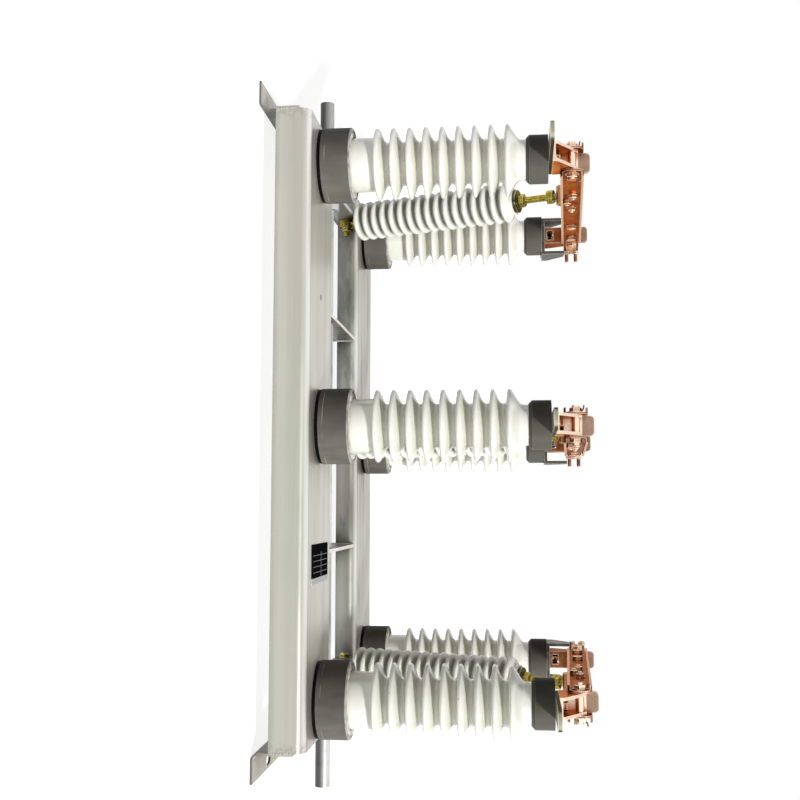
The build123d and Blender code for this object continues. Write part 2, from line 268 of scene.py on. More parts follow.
def stand_on_points(tree, inputs, geometry):
    """Instances of a geometry on the points of the piece, turned by their attributes."""
    axis = add(tree, "GeometryNodeInputNamedAttribute", {"Name": "axis"}, data_type="FLOAT_VECTOR")
    spin = add(tree, "GeometryNodeInputNamedAttribute", {"Name": "spin"}, data_type="FLOAT")
    upright = add(tree, "FunctionNodeAlignRotationToVector", {"Vector": axis}, axis="Z")
    turned = add(tree, "FunctionNodeAxisAngleToRotation", {"Axis": (0, 0, 1), "Angle": spin})
    both = add(tree, "FunctionNodeRotateRotation", {"Rotation": upright, "Rotate By": turned},
               rotation_space="LOCAL")
    return add(tree, "GeometryNodeInstanceOnPoints",
               {"Points": inputs["Geometry"], "Instance": geometry, "Rotation": both})


def lathe(inputs, rows, radius, angle, height):
    """A sheet laid round the axis: rows of points at a radius, an angle and a height."""
    sheet = add(angle.tree, "GeometryNodeMeshGrid",
                {"Size X": 1.0, "Size Y": 1.0, "Vertices Y": rows, "Vertices X": inputs["Segments"] + 1})
    place = vector(radius * maths("COSINE", angle), radius * maths("SINE", angle), height)
    return add(angle.tree, "GeometryNodeSetPosition", {"Geometry": sheet, "Position": place})


def sewn(geometry):
    """A geometry whose meeting points are one."""
    return add(geometry.tree, "GeometryNodeMergeByDistance", {"Geometry": geometry, "Distance": WELD_DISTANCE})


# Geometry trees. An outline of a shed is given by places along the axis in mm and shares of its height.

POST_SHED = ((0, 0), (1.2, 0.03), (2.7, 0.15), (4.1, 0.46), (5.1, 0.77), (5.9, 0.93), (6.8, 0.99), (7.9, 1.0),
             (9.1, 0.985), (10.3, 0.93), (12.2, 0.74), (14.8, 0.42), (17.3, 0.15), (19.5, 0.03), (21.3, 0))
POST_TIP = 7.9 / 21.3
ROD_SHED = ((0, 0), (1.1, 0.05), (2.3, 0.28), (3.3, 0.66), (4.1, 0.9), (5.1, 0.985), (6.3, 1.0),
            (7.5, 0.985), (8.7, 0.9), (9.9, 0.66), (11.4, 0.28), (13.1, 0.05), (14.5, 0))
ROD_TIP = 6.3 / 14.5
CONE_FALL = ((0, 1), (0.07, 0.99), (0.16, 0.92), (0.5, 0.5), (0.85, 0.08), (1, 0))
ROWS_OF_SHED = 18
PLAIN_BLEND = 0.003  # rounding where the first shed leaves the plain foot


def ribbed_tree(name, shed, depth, tip_share):
    """Tree of a ribbed insulator: a lathe of strips, with the outline of one shed repeated by pitch."""
    tree, inputs = new_geometry(name, {
        "Sheds": 9, "Pitch": 0.0213, "First shed": 0.076, "Foot": 0.012, "Top": 0.292, "Shed radius": 0.0475,
        "Core radius": 0.028, "Plain radius": 0.036, "Neck radius": 0.0265, "Cone": 0.015, "Segments": 64,
        "Material": None})
    _, sheds, pitch, first, foot, top, tip, core, plain, neck, cone, *_ = inputs.values()
    steps = [0.0]
    for before, after in zip(shed, shed[1:]):
        steps.append(steps[-1] + hypot(after[0] - before[0], (after[1] - before[1]) * depth))
    along = [(step / steps[-1], place[0] / shed[-1][0]) for step, place in zip(steps, shed)]
    outward = [(step / steps[-1], place[1]) for step, place in zip(steps, shed)]

    grid = add(tree, "GeometryNodeInputPosition")
    angle = (grid[0] + 0.5) * tau
    run = grid[1] + 0.5
    start = first - pitch * tip_share
    last_tip = pitch * (sheds - 1) + first
    ending = pitch * sheds + start

    def coned(height):
        share = maths("MINIMUM", maths("MAXIMUM", (height - last_tip) / cone, 0), 1)
        return shaped(share, CONE_FALL) * (tip - neck) + neck

    def strip(rows, radius, height):
        return lathe(inputs, rows, radius, angle, height)

    turn = run * sheds
    number = maths("FLOOR", turn + 0.0001)
    part = maths("MAXIMUM", turn - number, 0)
    level = pitch * (number + shaped(part, along)) + start
    ribbed = shaped(part, outward) * (tip - core) + core
    swollen = maths("SMOOTH_MAX", ribbed, plain, PLAIN_BLEND)
    lower = maths("LESS_THAN", level, first) * (swollen - ribbed) + ribbed
    radius = maths("GREATER_THAN", level, last_tip) * (coned(level) - lower) + lower
    neck_level = run * (top - ending) + ending
    strips = [strip(2, run * plain, foot),
              strip(3, plain, run * (start - foot) + foot),
              strip(sheds * ROWS_OF_SHED + 1, radius, level),
              strip(10, coned(neck_level), neck_level),
              strip(2, (1 - run) * coned(top), top)]
    return close_geometry(tree, inputs, stand_on_points(tree, inputs, sewn(joined(strips))))


def fastener_tree():
    """Tree of a nut or a bolt's head on its washer, with the end of the bolt standing out."""
    tree, inputs = new_geometry("Hex fastener", {
        "Across flats": 0.016, "Height": 0.008, "Washer radius": 0.01, "Washer sheet": 0.002, "Stud radius": 0.005,
        "Stud length": 0.004, "Material": None})
    _, flats, height, washer, sheet, stud, reach, *_ = inputs.values()

    def solid(sides, low_radius, high_radius, depth, level):
        cone = add(tree, "GeometryNodeMeshCone", {"Vertices": sides, "Radius Bottom": low_radius,
                                                  "Radius Top": high_radius, "Depth": depth})
        lift = add(tree, "ShaderNodeCombineXYZ", {2: level})
        return add(tree, "GeometryNodeTransform", {"Geometry": cone, "Translation": lift})

    corner, straight, top = flats * 0.5774, height * 0.84, sheet + height
    shank = reach * 0.7
    solids = [solid(6, corner, corner, straight, sheet),
              solid(6, corner, corner * 0.84, height * 0.16, sheet + straight),
              solid(32, washer, washer, sheet, 0.0),
              solid(20, stud, stud, shank, top - 0.0005),
              solid(20, stud, stud * 0.7, reach * 0.3, top + (shank - 0.0005))]
    return close_geometry(tree, inputs, stand_on_points(tree, inputs, joined(solids)), smooth=False)


def bead_tree():
    """Tree of a weld bead: drops of metal laid one over the other along the piece's edges."""
    tree, inputs = new_geometry("Weld bead", {"Spacing": 0.0025, "Width": 0.006, "Seed": 3, "Material": None})
    path = add(tree, "GeometryNodeMeshToCurve", {"Mesh": inputs["Geometry"]})
    even = add(tree, "GeometryNodeResampleCurve", {"Curve": path, "Length": inputs["Spacing"]}, mode="LENGTH")
    drop = add(tree, "GeometryNodeMeshUVSphere", {"Segments": 10, "Rings": 6, "Radius": 0.5})
    size = add(tree, "FunctionNodeRandomValue", {2: 0.82, 3: 1.12, "Seed": inputs["Seed"]}, 1, data_type="FLOAT")
    width = size * inputs["Width"]
    placed = add(tree, "GeometryNodeInstanceOnPoints",
                 {"Points": even, "Instance": drop, "Scale": vector(width, width, width)})
    return close_geometry(tree, inputs, placed)


def cement_tree():
    """Tree of the ring of cement between porcelain and iron, with an uneven upper face."""
    tree, inputs = new_geometry("Cement ring", {
        "Inner radius": 0.0355, "Outer radius": 0.045, "Level": 0.033, "Rise": 0.006, "Roughness": 0.003,
        "Segments": 96, "Material": None})
    _, inner, outer, level, rise, rough, *_ = inputs.values()
    grid = add(tree, "GeometryNodeInputPosition")
    angle, turn = (grid[0] + 0.5) * tau, (grid[1] + 0.5) * tau
    circle = vector(maths("COSINE", angle), maths("SINE", angle), maths("SINE", turn) * 0.1)
    wave = (noise(circle, 5.0, 4.0) - 0.5) * rough
    radius = maths("COSINE", turn) * ((outer - inner) * 0.5) + (inner + outer) * 0.5 + wave
    height = maths("MAXIMUM", maths("SINE", turn), -0.3) * rise + level + wave * 2.0
    ring = sewn(lathe(inputs, 17, radius, angle, height))
    return close_geometry(tree, inputs, stand_on_points(tree, inputs, ring))


# Finishes.

def new_finish(name):
    """A material with one principled surface, and its object coordinates."""
    material = bpy.data.materials.new(name)
    material.use_nodes = True
    return material, add(material.node_tree, "ShaderNodeTexCoord", None, "Object")


def surface_of(material):
    """The node that holds a material's surface."""
    return material.node_tree.nodes["Principled BSDF"]


def close_finish(material, colour, roughness, bump, others=None):
    """Feeds a surface its colour, a roughness that follows a noise, a bump from a height, and other inputs."""
    cloud, low, high = roughness
    height, depth, strength = bump
    dents = add(material.node_tree, "ShaderNodeBump", {"Height": height, "Distance": depth, "Strength": strength})
    feed(surface_of(material), {"Base Color": colour, "Roughness": spread(cloud, 0.3, 0.7, low, high),
                                "Normal": dents, **(others or {})})
    return material


def spread(value, low, high, start=0.0, end=1.0, smooth=False):
    """Maps a value from low..high to start..end and keeps it between them."""
    return add(value.tree, "ShaderNodeMapRange",
               {"Value": value, "From Min": low, "From Max": high, "To Min": start, "To Max": end},
               interpolation_type="SMOOTHSTEP" if smooth else "LINEAR")


def blend(factor, first, second, mode="MIX"):
    """Mixes two colours, one of them or their factor a value."""
    tree = next(value.tree for value in (factor, first, second) if isinstance(value, Value))
    return add(tree, "ShaderNodeMix", {0: factor, 6: first, 7: second}, 2, data_type="RGBA", blend_type=mode)


def coats(colour, *layers):
    """Lays coats over a colour, each a factor and its own colour."""
    for factor, coat in layers:
        colour = blend(factor, colour, coat)
    return colour


def tinted(colour, *shares):
    """A colour with its channels scaled, all by one share or each by its own."""
    return (*(channel * share for channel, share in zip(colour[:3], shares * 3)), 1)


def facing(place):
    """The way that the surface faces."""
    return add(place.tree, "ShaderNodeNewGeometry", None, "Normal")


def open_share(place, reach):
    """1 where nothing of the piece stands near, less in its hollows."""
    return add(place.tree, "ShaderNodeAmbientOcclusion", {"Distance": reach}, "AO", samples=6)


def wear_and_glint_edges(place, radius):
    """1 at sharp edges and 0 on flats."""
    bevel = add(place.tree, "ShaderNodeBevel", {"Radius": radius}, samples=6)
    product = add(place.tree, "ShaderNodeVectorMath", {0: bevel, 1: facing(place)}, "Value",
                  operation="DOT_PRODUCT")
    return spread(product, 0.995, 0.9)


def stainless(name, colour, dullness=0.0, ends=None, painted_reflection_patches=0.0, painted_top_light=0.22):
    """Folded stainless sheet: faint brushing, clouds of beige, green and pink grey, and speckled ends, with a painted
    highlight on the rounded corner, painted light on faces turned up, painted shade within the channel and dark
    blotches of painted reflection.
    """
    material, place = new_finish(name)
    grain = noise(place, 1.0, 6.0, 0.65, (5, 700, 700))
    bands = noise(place, 1.0, 2.0, 0.5, (0.8, 48, 48))
    cloud = noise(place, 1.0, 3.0, 0.5, (3.0, 16, 16))
    patch = noise(place, 1.0, 4.0, 0.6, (7, 22, 22))
    upward = facing(place)[2]
    # Painted highlight: a pale band on the rounded corner between the face and the top.
    painted_bend_highlight = spread(upward, 0.5, 0.85, 0.0, 0.72, smooth=True) * spread(upward, 0.9995, 0.93, smooth=True)
    # Painted shade: near black below the beam's top where little is open around.
    under_top = spread(place[2], 0.0665, 0.0655)
    painted_channel_shade = spread(open_share(place, 0.06), 0.74, 0.46, 0.0, 0.95, smooth=True) * under_top
    skin = coats(
        colour,
        (spread(cloud, 0.42, 0.62, smooth=True), tinted(colour, 0.95, 1.02, 0.98)),
        (spread(cloud, 0.45, 0.3, 0.0, 0.9, smooth=True), tinted(colour, 1.04, 0.97, 0.95)),
        # Painted reflection: dark bluish blotches, stronger where more are asked for.
        (spread(patch, 0.5, 0.6 if painted_reflection_patches else 0.78, 0.0, 0.12 + painted_reflection_patches, smooth=True),
         tinted(colour, 0.42, 0.47, 0.52)),
        (spread(bands, 0.35, 0.7, 0.0, 0.22), (0.9, 0.9, 0.86, 1)),
        (spread(grain, 0.4, 0.65, 0.0, 0.1), (0.25, 0.24, 0.22, 1)),
        (painted_bend_highlight, (0.97, 0.97, 0.95, 1)),
        # Painted light: faces turned straight up are lightened.
        (spread(upward, 0.99, 0.9999, 0.0, painted_top_light), (0.95, 0.87, 0.78, 1)),
        (painted_channel_shade, (0.025, 0.024, 0.018, 1)))
    if ends:
        near_end = spread(maths("ABSOLUTE", place[0]), ends - 0.016, ends - 0.004, smooth=True)
        speckle = noise(place, 130.0, 5.0, 0.7)
        skin = coats(skin, (near_end * spread(speckle, 0.46, 0.6, 0.0, 0.4), (0.2, 0.185, 0.14, 1)),
                     (near_end * spread(speckle, 0.42, 0.34, 0.0, 0.5), (0.86, 0.85, 0.78, 1)))
    return close_finish(material, skin, (patch, 0.3 + dullness, 0.42 + dullness), (grain, 0.00008, 0.4),
                        {"Metallic": 0.75, "Anisotropic": 0.4})


def porcelain(name, colour, painted_valley_shade, deepest, reach):
    """White glaze with a faint warm tint and a few dark specks, greyer between the sheds with painted shade where
    little is open around.
    """
    material, place = new_finish(name)
    cloud = noise(place, 14.0, 4.0, 0.55)
    speck = noise(place, 420.0, 2.0, 0.5)
    drip = noise(place, 1.0, 3.0, 0.5, (55, 55, 9))
    skin = coats(
        colour,
        (spread(cloud, 0.35, 0.7, 0.0, 0.6), tinted(colour, 0.93, 0.965, 0.92)),
        (spread(drip, 0.55, 0.8, 0.0, 0.15), (0.6, 0.58, 0.5, 1)),
        # Painted shade: the given colour where little is open around, between the sheds.
        (spread(open_share(place, reach), 0.62, deepest, 0.0, 0.9, smooth=True), painted_valley_shade),
        (spread(speck, 0.74, 0.78), (0.24, 0.21, 0.17, 1)))
    return close_finish(material, skin, (cloud, 0.14, 0.26), (noise(place, 60.0, 2.0, 0.4), 0.0004, 0.25), {
        "Coat Weight": 0.6, "Coat Roughness": 0.06, "Subsurface Weight": 0.08,
        "Subsurface Radius": (0.004, 0.004, 0.003)})


def casting(name, colour, joint=None):
    """Dark grey paint on an iron casting: dull, rubbed at its edges, with painted shade on faces turned to the left and
    painted light on faces turned to the right.
    A base has a black band at its foot as painted shadow of the gap under it, a pale line over it as painted highlight
    on a small bevel, and cement smeared on its top."""
    material, place = new_finish(name)
    cloud = noise(place, 26.0, 4.0, 0.55)
    sand = noise(place, 700.0, 4.0, 0.6)
    runs = noise(place, 1.0, 3.0, 0.5, (70, 70, 14))
    normal = facing(place)
    worn_with_painted_light = coats(
        colour,
        (spread(cloud, 0.3, 0.7), tinted(colour, 1.25, 1.22, 1.12)),
        (spread(runs, 0.5, 0.8, 0.0, 0.22), (0.25, 0.24, 0.21, 1)),
        (wear_and_glint_edges(place, 0.0011) * spread(cloud, 0.35, 0.6, 0.25, 0.8), (0.5, 0.49, 0.45, 1)))
    # Painted shade and light: faces turned to the left are darkened and faces turned to the right lightened; caps are
    # darkened more than bases.
    shade = spread(normal[0], -0.85, 0.75, 0.7 if joint else 0.42, 1.32 if joint else 1.15)
    grey = add(place.tree, "ShaderNodeCombineColor", {0: shade, 1: shade, 2: shade})
    worn_with_painted_light = blend(1.0, worn_with_painted_light, grey, "MULTIPLY")
    if joint:
        level = place[2] + (runs - 0.5) * 0.0006
        # Painted highlight: a pale broken line round the base over a small bevel.
        painted_bevel_highlight = spread(maths("ABSOLUTE", level - (joint + 0.0105)), 0.0006, 0.0002)
        smear = spread(noise(place, 90.0, 4.0, 0.6), 0.4, 0.55, 0.35, 0.9)
        worn_with_painted_light = coats(
            worn_with_painted_light,
            (painted_bevel_highlight * spread(cloud, 0.45, 0.62, 0.0, 0.6), (0.55, 0.54, 0.5, 1)),
            # Painted shadow: a black band at the foot of the base.
            (spread(level, joint + FOOT_SHADOW_BAND + 0.0003, joint + FOOT_SHADOW_BAND - 0.0003), (0.003, 0.003, 0.003, 1)),
            (spread(normal[2], 0.45, 0.65) * smear, (0.52, 0.51, 0.47, 1)))
    return close_finish(material, worn_with_painted_light, (cloud, 0.45, 0.6), (sand, 0.00018, 0.4), {"Specular IOR Level": 0.04})


def copper(name, bright, tab_level=None, stain=0.6, reach=0.005, cut_ends_and_front_highlight=0.0, hollows=(0.035, 0.012, 0.006, 1),
           rims=None):
    """Bare copper: near white at sharp edges, rubbed and with painted highlight, brown patina and painted shade where
    little is open around, pale with painted highlight on faces turned toward -Y, and dulled on the upright tab.
    Rims are pale edges of flanges, bright copper and painted highlight: the gap between phases, the flange's reach, and
    where they stop."""
    material, place = new_finish(name)
    cloud = noise(place, 55.0, 4.0, 0.6)
    fine = noise(place, 420.0, 3.0, 0.6)
    skin = coats(
        bright,
        (spread(cloud, 0.38, 0.66, 0.0, stain), (0.2, 0.058, 0.022, 1)),
        # Darker where little is open around: brown patina and painted shade.
        (spread(open_share(place, reach), 0.75, 0.3, 0.0, 0.92), hollows))
    # Painted highlight: pale on faces turned toward -Y, where the ends of the plates face.
    if cut_ends_and_front_highlight:
        skin = blend(spread(facing(place)[1], -0.4, -0.6, 0.0, cut_ends_and_front_highlight), skin, (1.0, 0.87, 0.7, 1))
    # Pale along the edges of the flanges: bright copper and painted highlight.
    if rims:
        gap, edge, last = rims
        at_edge = spread(maths("PINGPONG", place[0], gap / 2), edge - 0.0006, edge - 0.0002, 0.0, 0.85)
        skin = blend(at_edge * spread(place[1], last + 0.005, last), skin, (1.0, 0.72, 0.54, 1))
    if tab_level:
        dull = blend(spread(cloud, 0.38, 0.6), (0.36, 0.215, 0.165, 1), (0.24, 0.17, 0.105, 1))
        skin = blend(spread(place[2], tab_level, tab_level + 0.0008) * 0.95, skin, dull)
    # Pale at sharp edges: rubbed copper and painted highlight.
    worn_with_painted_light = blend(wear_and_glint_edges(place, 0.0022) * spread(cloud, 0.25, 0.6, 1.0, 0.75), skin, (1.0, 0.86, 0.7, 1))
    return close_finish(material, worn_with_painted_light, (fine, 0.24, 0.4), (fine + cloud, 0.00012, 0.4),
                        {"Metallic": 0.9, "Specular Tint": (0.62, 0.34, 0.2, 1)})


def yellow_metal(name, colour, copper_from=None, painted_end_shade=None):
    """Yellow plated steel: olive cloud, painted shade where little is open around, pale edges of rubbed plating and
    painted highlight, coppery from a level upwards.
    It is painted near black as shade up to a length along the rod, given with the rod's start and direction."""
    material, place = new_finish(name)
    cloud = noise(place, 150.0, 4.0, 0.6)
    skin = blend(spread(cloud, 0.35, 0.65, 0.0, 0.8), colour, (0.15, 0.12, 0.03, 1))
    if copper_from:
        skin = blend(spread(place[2], copper_from, copper_from + 0.001), skin, (0.42, 0.2, 0.1, 1))
    if painted_end_shade:
        start, axis, length = painted_end_shade
        along = (place[1] - start.y) * axis.y + (place[2] - start.z) * axis.z
        # Painted shade: near black on the part nearest the porcelain, up to a length along the rod.
        skin = blend(spread(along, length + 0.0004, length - 0.0002, 0.0, 0.95), skin, (0.07, 0.07, 0.06, 1))
    # Painted shade where little is open around, and pale edges of rubbed plating and painted highlight.
    skin = coats(skin, (spread(open_share(place, 0.006), 0.8, 0.3, 0.0, 0.9), (0.03, 0.025, 0.006, 1)),
                 (wear_and_glint_edges(place, 0.0009) * 0.85, (1.0, 0.95, 0.62, 1)))
    return close_finish(material, skin, (cloud, 0.18, 0.34), (noise(place, 900.0), 0.00008, 0.4),
                        {"Metallic": 0.95, "Specular Tint": (0.8, 0.7, 0.38, 1)})


def bar_metal(name, colour, stretch, rough=0.32, metallic=0.85, painted_flank_shade=0.0, under=0.0):
    """Plain drawn or tinned metal with fine lines along its length, with painted shade on its sides and on its under
    side, each where asked, and pale edges of rubbed metal and painted highlight.
    """
    material, place = new_finish(name)
    lines = noise(place, 1.0, 6.0, 0.65, stretch)
    cloud = noise(place, 45.0, 4.0, 0.6)
    normal = facing(place)
    # Painted shade: faces turned to the sides are darkened.
    aside = spread(maths("ABSOLUTE", normal[0]), 0.6, 0.85, 0.0, painted_flank_shade)
    skin = coats(
        colour,
        (spread(lines, 0.3, 0.7, 0.0, 0.4), tinted(colour, 0.66, 0.65, 0.58)),
        (spread(cloud, 0.52, 0.72, 0.0, 0.5), tinted(colour, 0.55, 0.5, 0.4)),
        (aside, tinted(colour, 0.22, 0.18, 0.12)),
        # Painted shade: faces turned down are darkened.
        (spread(normal[2], 0.75, -0.35, 0.0, under, smooth=True), (0.012, 0.015, 0.018, 1)),
        # Pale at sharp edges: rubbed metal and painted highlight.
        (wear_and_glint_edges(place, 0.0009) * 0.8, (0.97, 0.96, 0.9, 1)))
    tint = blend(aside, (1, 1, 1, 1), (0.2, 0.16, 0.1, 1)) if painted_flank_shade else (1, 1, 1, 1)
    return close_finish(material, skin, (cloud, rough, rough + 0.14), (lines, 0.00006, 0.5),
                        {"Metallic": metallic, "Specular Tint": tint})


def cement(name):
    """Pale grey cement, rough and crumbly."""
    material, place = new_finish(name)
    grit = noise(place, 350.0, 5.0, 0.7)
    tone = blend(spread(noise(place, 60.0), 0.38, 0.68), (0.74, 0.73, 0.68, 1), (0.42, 0.4, 0.36, 1))
    pitted = blend(spread(grit, 0.6, 0.7), tone, (0.12, 0.11, 0.09, 1))
    return close_finish(material, pitted, (grit, 0.9, 0.9), (grit, 0.0006, 0.9))


def plate_print(name, node):
    """Black sheet with thin pale rules and a pale strip at one end, and no words."""
    low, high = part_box(node)
    material, place = new_finish(name)
    run = spread(place[0], low[0], high[0])
    across = spread(place[1], low[1], high[1])

    def band(value, first, last):
        return spread(value, first, first + 0.005) * spread(value, last, last - 0.005)

    rule = spread(maths("ABSOLUTE", maths("FRACT", run * 7.0) - 0.5), 0.46, 0.47)
    lines = maths("MAXIMUM", rule, band(across, 0.55, 0.57))
    marks = lines * band(across, 0.06, 0.94) * band(run, 0.2, 0.84)
    pale = maths("MAXIMUM", marks * 0.75, spread(run, 0.85, 0.855))
    scuff = noise(place, 240.0, 4.0, 0.6)
    ink = blend(spread(scuff, 0.3, 0.7), (0.003, 0.003, 0.004, 1), (0.012, 0.012, 0.013, 1))
    return close_finish(material, blend(pale, ink, (0.62, 0.63, 0.66, 1)), (scuff, 0.3, 0.45),
                        (scuff, 0.00005, 0.4), {"Specular IOR Level": 0.0})


FINISHES = {}


def of_phases(*stems):
    """Names of the pieces of each stem, one for each phase."""
    return [f"{stem}_{phase}" for stem in stems for phase in PHASES]


def dress(nodes, material):
    """Gives CAD nodes a finish."""
    for name in nodes:
        node = frame["nodes"][name]
        if not node.material_slots:
            node.data.materials.append(material)
        for slot in node.material_slots:
            slot.material = material


def settle(piece, body):
    """Puts a piece on its body."""
    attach(piece, body)


def hex_piece(name, body, slot, finish, sizes, places, axes, spins):
    """Nuts or bolt heads of one size on a body, each with its seat, the way that it points and its turn."""
    keys = ("Across flats", "Height", "Washer radius", "Washer sheet", "Stud radius", "Stud length")
    piece = points_piece(name, places, axes, spins)
    grow(piece, FINISHES["fastener tree"], {**dict(zip(keys, sizes)), "Material": FINISHES[finish]})
    settle(piece, body)


def both_webs(phase, spots):
    """Seats on both sides of a blade and the ways that they point, from places along, across and lifted."""
    seats = [on_blade(phase, along, across, side * (BLADE_WEB + lift))
             for along, across, lift in spots for side in (-1, 1)]
    return seats, [(side, 0, 0) for _ in spots for side in (-1, 1)]


def edges_piece(name, runs):
    """An object of loose edges, one chain for each run of points."""
    places, edges = [], []
    for run in runs:
        edges += [(len(places) + step, len(places) + step + 1) for step in range(len(run) - 1)]
        places += run
    return mesh_piece(name, places, edges)


def springs(name, paths, half_width, sheet, material, body):
    """Bent flat springs: each path is a list of points with the way across and the way out."""
    places, faces = [], []
    for path in paths:
        first = len(places)
        for place, across, out in path:
            for side, level in ((-1, 0), (1, 0), (1, 1), (-1, 1)):
                places.append(place + across * (side * half_width) + out * (level * sheet))
        last = len(places) - 4
        for foot in range(first, last, 4):
            faces += [(foot + n, foot + (n + 1) % 4, foot + 4 + (n + 1) % 4, foot + 4 + n) for n in range(4)]
        faces += [(first + 3, first + 2, first + 1, first), (last, last + 1, last + 2, last + 3)]
    piece = mesh_piece(name, places, [], faces)
    shell = bmesh.new()
    shell.from_mesh(piece.data)
    bmesh.ops.recalc_face_normals(shell, faces=shell.faces)
    shell.to_mesh(piece.data)
    shell.free()
    piece.data.materials.append(material)
    settle(piece, body)


def wires(name, runs, radius, material, body):
    """Bent wires of one thickness, each through its points, as one mesh."""
    curve = bpy.data.curves.new(name, "CURVE")
    curve.dimensions = "3D"
    curve.bevel_depth = radius
    curve.bevel_resolution = 3
    curve.use_fill_caps = True
    for run in runs:
        spline = curve.splines.new("NURBS")
        spline.points.add(len(run) - 1)
        for point, place in zip(spline.points, run):
            point.co = (*place, 1)
        spline.order_u = 3
        spline.use_endpoint_u = True
        spline.resolution_u = 6
    holder = new_piece(name + "_line", curve)
    mesh = plain_mesh(holder)
    bpy.data.objects.remove(holder)
    mesh.materials.append(material)
    mesh.shade_smooth()
    settle(new_piece(name, mesh), body)


# What a user can change.

def length_property(label, text, value):
    """A length that a user can change."""
    return bpy.props.FloatProperty(name=label, description=text, default=value, unit="LENGTH", subtype="DISTANCE")


def strength_property(label, text, value):
    """A lamp's strength that a user can change."""
    return bpy.props.FloatProperty(name=label, description=text, default=value, min=0.0)


def colour_property(label, text, value):
    """A colour that a user can change."""
    return bpy.props.FloatVectorProperty(name=label, description=text, default=value, size=4, min=0.0, max=1.0,
                                         subtype="COLOR")


class PostSizes(bpy.types.PropertyGroup):
    """Sizes of the porcelain of the posts."""
    sheds: bpy.props.IntProperty(name="Sheds", description="Ribs on one post", default=9, min=2, max=20)
    pitch: length_property("Pitch", "Distance between two sheds", 0.0213)
    first_shed: length_property("First shed", "Height of the first shed's edge over the beam", 0.076)
    core_radius: length_property("Core", "Radius at the bottom of the valleys", 0.0285)
    cone: length_property("Cone", "Length from the last shed's edge to the neck", 0.017)


class RodSizes(bpy.types.PropertyGroup):
    """Sizes of the porcelain of the pull rods."""
    sheds: bpy.props.IntProperty(name="Sheds", description="Ribs on one pull rod", default=17, min=2, max=40)
    core_radius: length_property("Core", "Radius at the bottom of the valleys", 0.019)


class FastenerSizes(bpy.types.PropertyGroup):
    """Sizes of nuts, bolts and welds."""
    contact_bolt: length_property("Contact bolt", "Width across flats of the bolts in the contacts", 0.014)
    hinge_nut: length_property("Hinge nut", "Width across flats of the nuts on the hinge pins", 0.014)
    attach_bolt: length_property("Attach bolt", "Width across flats of the bolts of the pull rod's block", 0.01)
    blade_nut: length_property("Blade nut", "Width across flats of the nuts on the blades", 0.013)
    jaw_nut: length_property("Jaw nut", "Width across flats of the nuts on the jaws", 0.01)
    rod_nut: length_property("Rod nut", "Width across flats of the nuts at the pull rods' ends", 0.014)
    post_nut: length_property("Post nut", "Width across flats of the nuts under the beams", 0.019)
    bead: length_property("Bead", "Width of the weld beads", 0.0042)


class Colours(bpy.types.PropertyGroup):
    """Colours of the finishes."""
    beams: colour_property("Beams", "Brushed stainless sheet", (0.45, 0.43, 0.375, 1))
    glaze: colour_property("Glaze", "Glaze of the porcelain", (0.95, 0.945, 0.87, 1))
    paint: colour_property("Paint", "Paint of the iron bases and caps", (0.105, 0.1, 0.092, 1))
    copper: colour_property("Copper", "Blades and contacts", (0.86, 0.34, 0.14, 1))
    brass: colour_property("Brass", "Fittings of the pull rods", (0.46, 0.35, 0.055, 1))
    tinned: colour_property("Tinned bar", "Terminal bars", (0.36, 0.345, 0.255, 1))


class Studio(bpy.types.PropertyGroup):
    """Camera and light."""
    lens: bpy.props.FloatProperty(name="Lens", description="Focal length in millimetres on a 36 mm sensor",
                                  default=49.02, subtype="DISTANCE_CAMERA")
    roll: bpy.props.FloatProperty(name="Roll", description="Turn of the camera about its view",
                                  default=radians(89.45), unit="ROTATION", subtype="ANGLE")
    key: strength_property("Key light", "Strength of the main lamp", 2.7)
    side: strength_property("Side light", "Strength of the broad lamp at the right end", 0.9)
    fill: strength_property("Fill light", "Strength of the light from all sides", 0.14)


class SwitchParts(bpy.types.PropertyGroup):
    """All values of the switch."""
    posts: bpy.props.PointerProperty(type=PostSizes, name="Posts", description="Porcelain of the posts")
    rods: bpy.props.PointerProperty(type=RodSizes, name="Rods", description="Porcelain of the pull rods")
    fasteners: bpy.props.PointerProperty(type=FastenerSizes, name="Fasteners", description="Nuts, bolts and welds")
    colours: bpy.props.PointerProperty(type=Colours, name="Colours", description="Colours of the finishes")
    studio: bpy.props.PointerProperty(type=Studio, name="Studio", description="Camera and light")


# One operator for each group of pieces.

